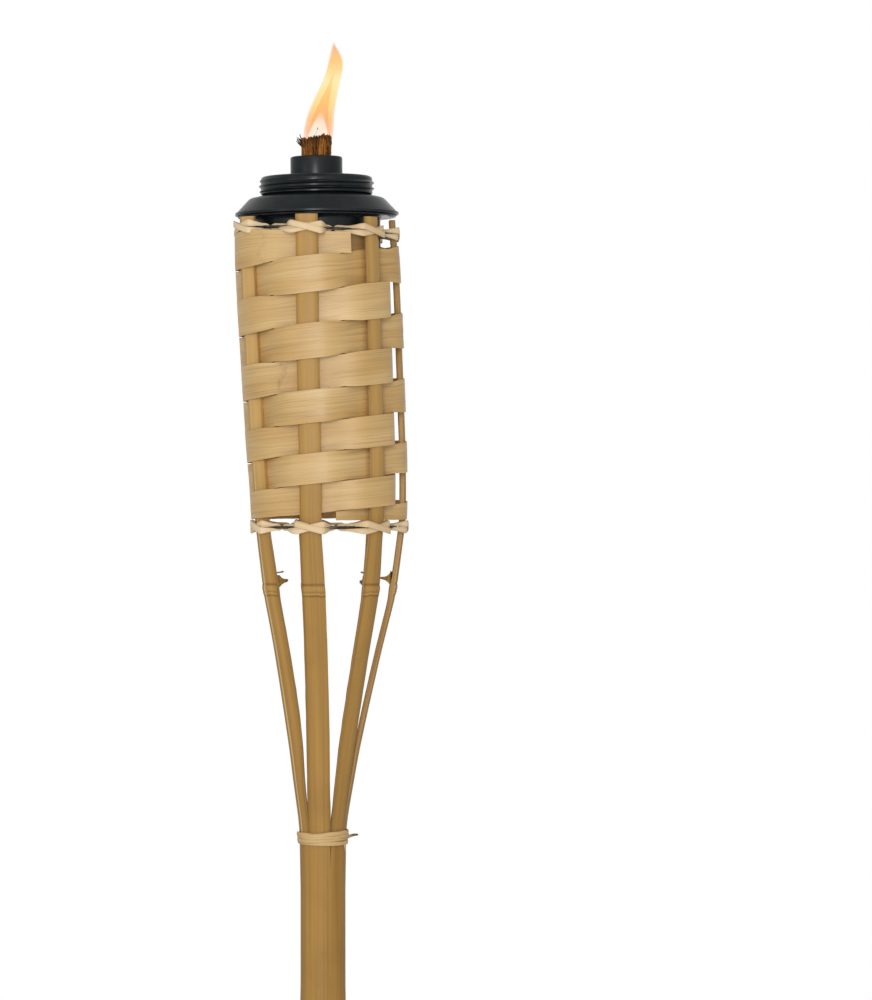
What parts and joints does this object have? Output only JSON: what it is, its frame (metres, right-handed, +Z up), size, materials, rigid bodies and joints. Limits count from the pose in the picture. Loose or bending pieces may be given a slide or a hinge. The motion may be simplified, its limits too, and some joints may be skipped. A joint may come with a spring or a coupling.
{
  "type": "tiki torch",
  "caption": "Bamboo garden torch: a culm split into a woven basket that holds an oil canister with a screw cap and a wick.",
  "frame": {"origin": "middle of the pole's flat foot", "axes": "+Z up along the pole, -Y towards the front stave, +X to the right seen from the front"},
  "size_m": [0.1036, 0.1003, 1.524],
  "materials": {
    "bamboo": "natural yellow-brown bamboo skin, satin",
    "split_bamboo": "pale split bamboo with a fine lengthwise grain",
    "lashing": "cream split cane, matt",
    "wire": "dull dark steel wire",
    "black_enamel": "black satin paint",
    "seal_rubber": "matt black rubber",
    "wick_fibre": "brown frayed fibre"
  },
  "bodies": {
    "pole_and_basket": {"pole": "bamboo", "stave_front": "bamboo", "stave_front_right": "bamboo", "stave_right": "bamboo", "stave_back_right": "bamboo", "stave_back": "bamboo", "stave_back_left": "bamboo", "stave_front_left": "bamboo", "weave_strip_lower": "split_bamboo", "weave_strip_middle": "split_bamboo", "weave_strip_upper": "split_bamboo", "hoop_upper": "wire", "hoop_lower": "wire", "lashing_upper_inner": "lashing", "lashing_upper_outer": "lashing", "lashing_lower_inner": "lashing", "lashing_lower_outer": "lashing", "pole_binding": "lashing"},
    "oil_canister": {"canister": "black_enamel", "canister_cover": "black_enamel"},
    "seal": {"cap_seal": "seal_rubber"},
    "burner_cap": {"screw_cap": "black_enamel", "wick_holder": "black_enamel"},
    "wick": {"wick": "wick_fibre"}
  },
  "joints": [
    {"name": "canister_lift", "type": "slide", "parent": "pole_and_basket", "child": "oil_canister", "axis": [-0.0105, 0, 0.9999], "range_m": [0, 0.12]},
    {"name": "cap_lift", "type": "slide", "parent": "oil_canister", "child": "seal", "axis": [-0.0105, 0, 0.9999], "range_m": [0, 0.125]},
    {"name": "cap_twist", "type": "hinge", "parent": "seal", "child": "burner_cap", "pos_m": [-0.0035, 0, 1.4732], "axis": [-0.0105, 0, 0.9999], "range_deg": [0, 450]},
    {"name": "wick_adjust", "type": "slide", "parent": "burner_cap", "child": "wick", "axis": [-0.0105, 0, 0.9999], "range_m": [-0.004, 0.01]}
  ]
}
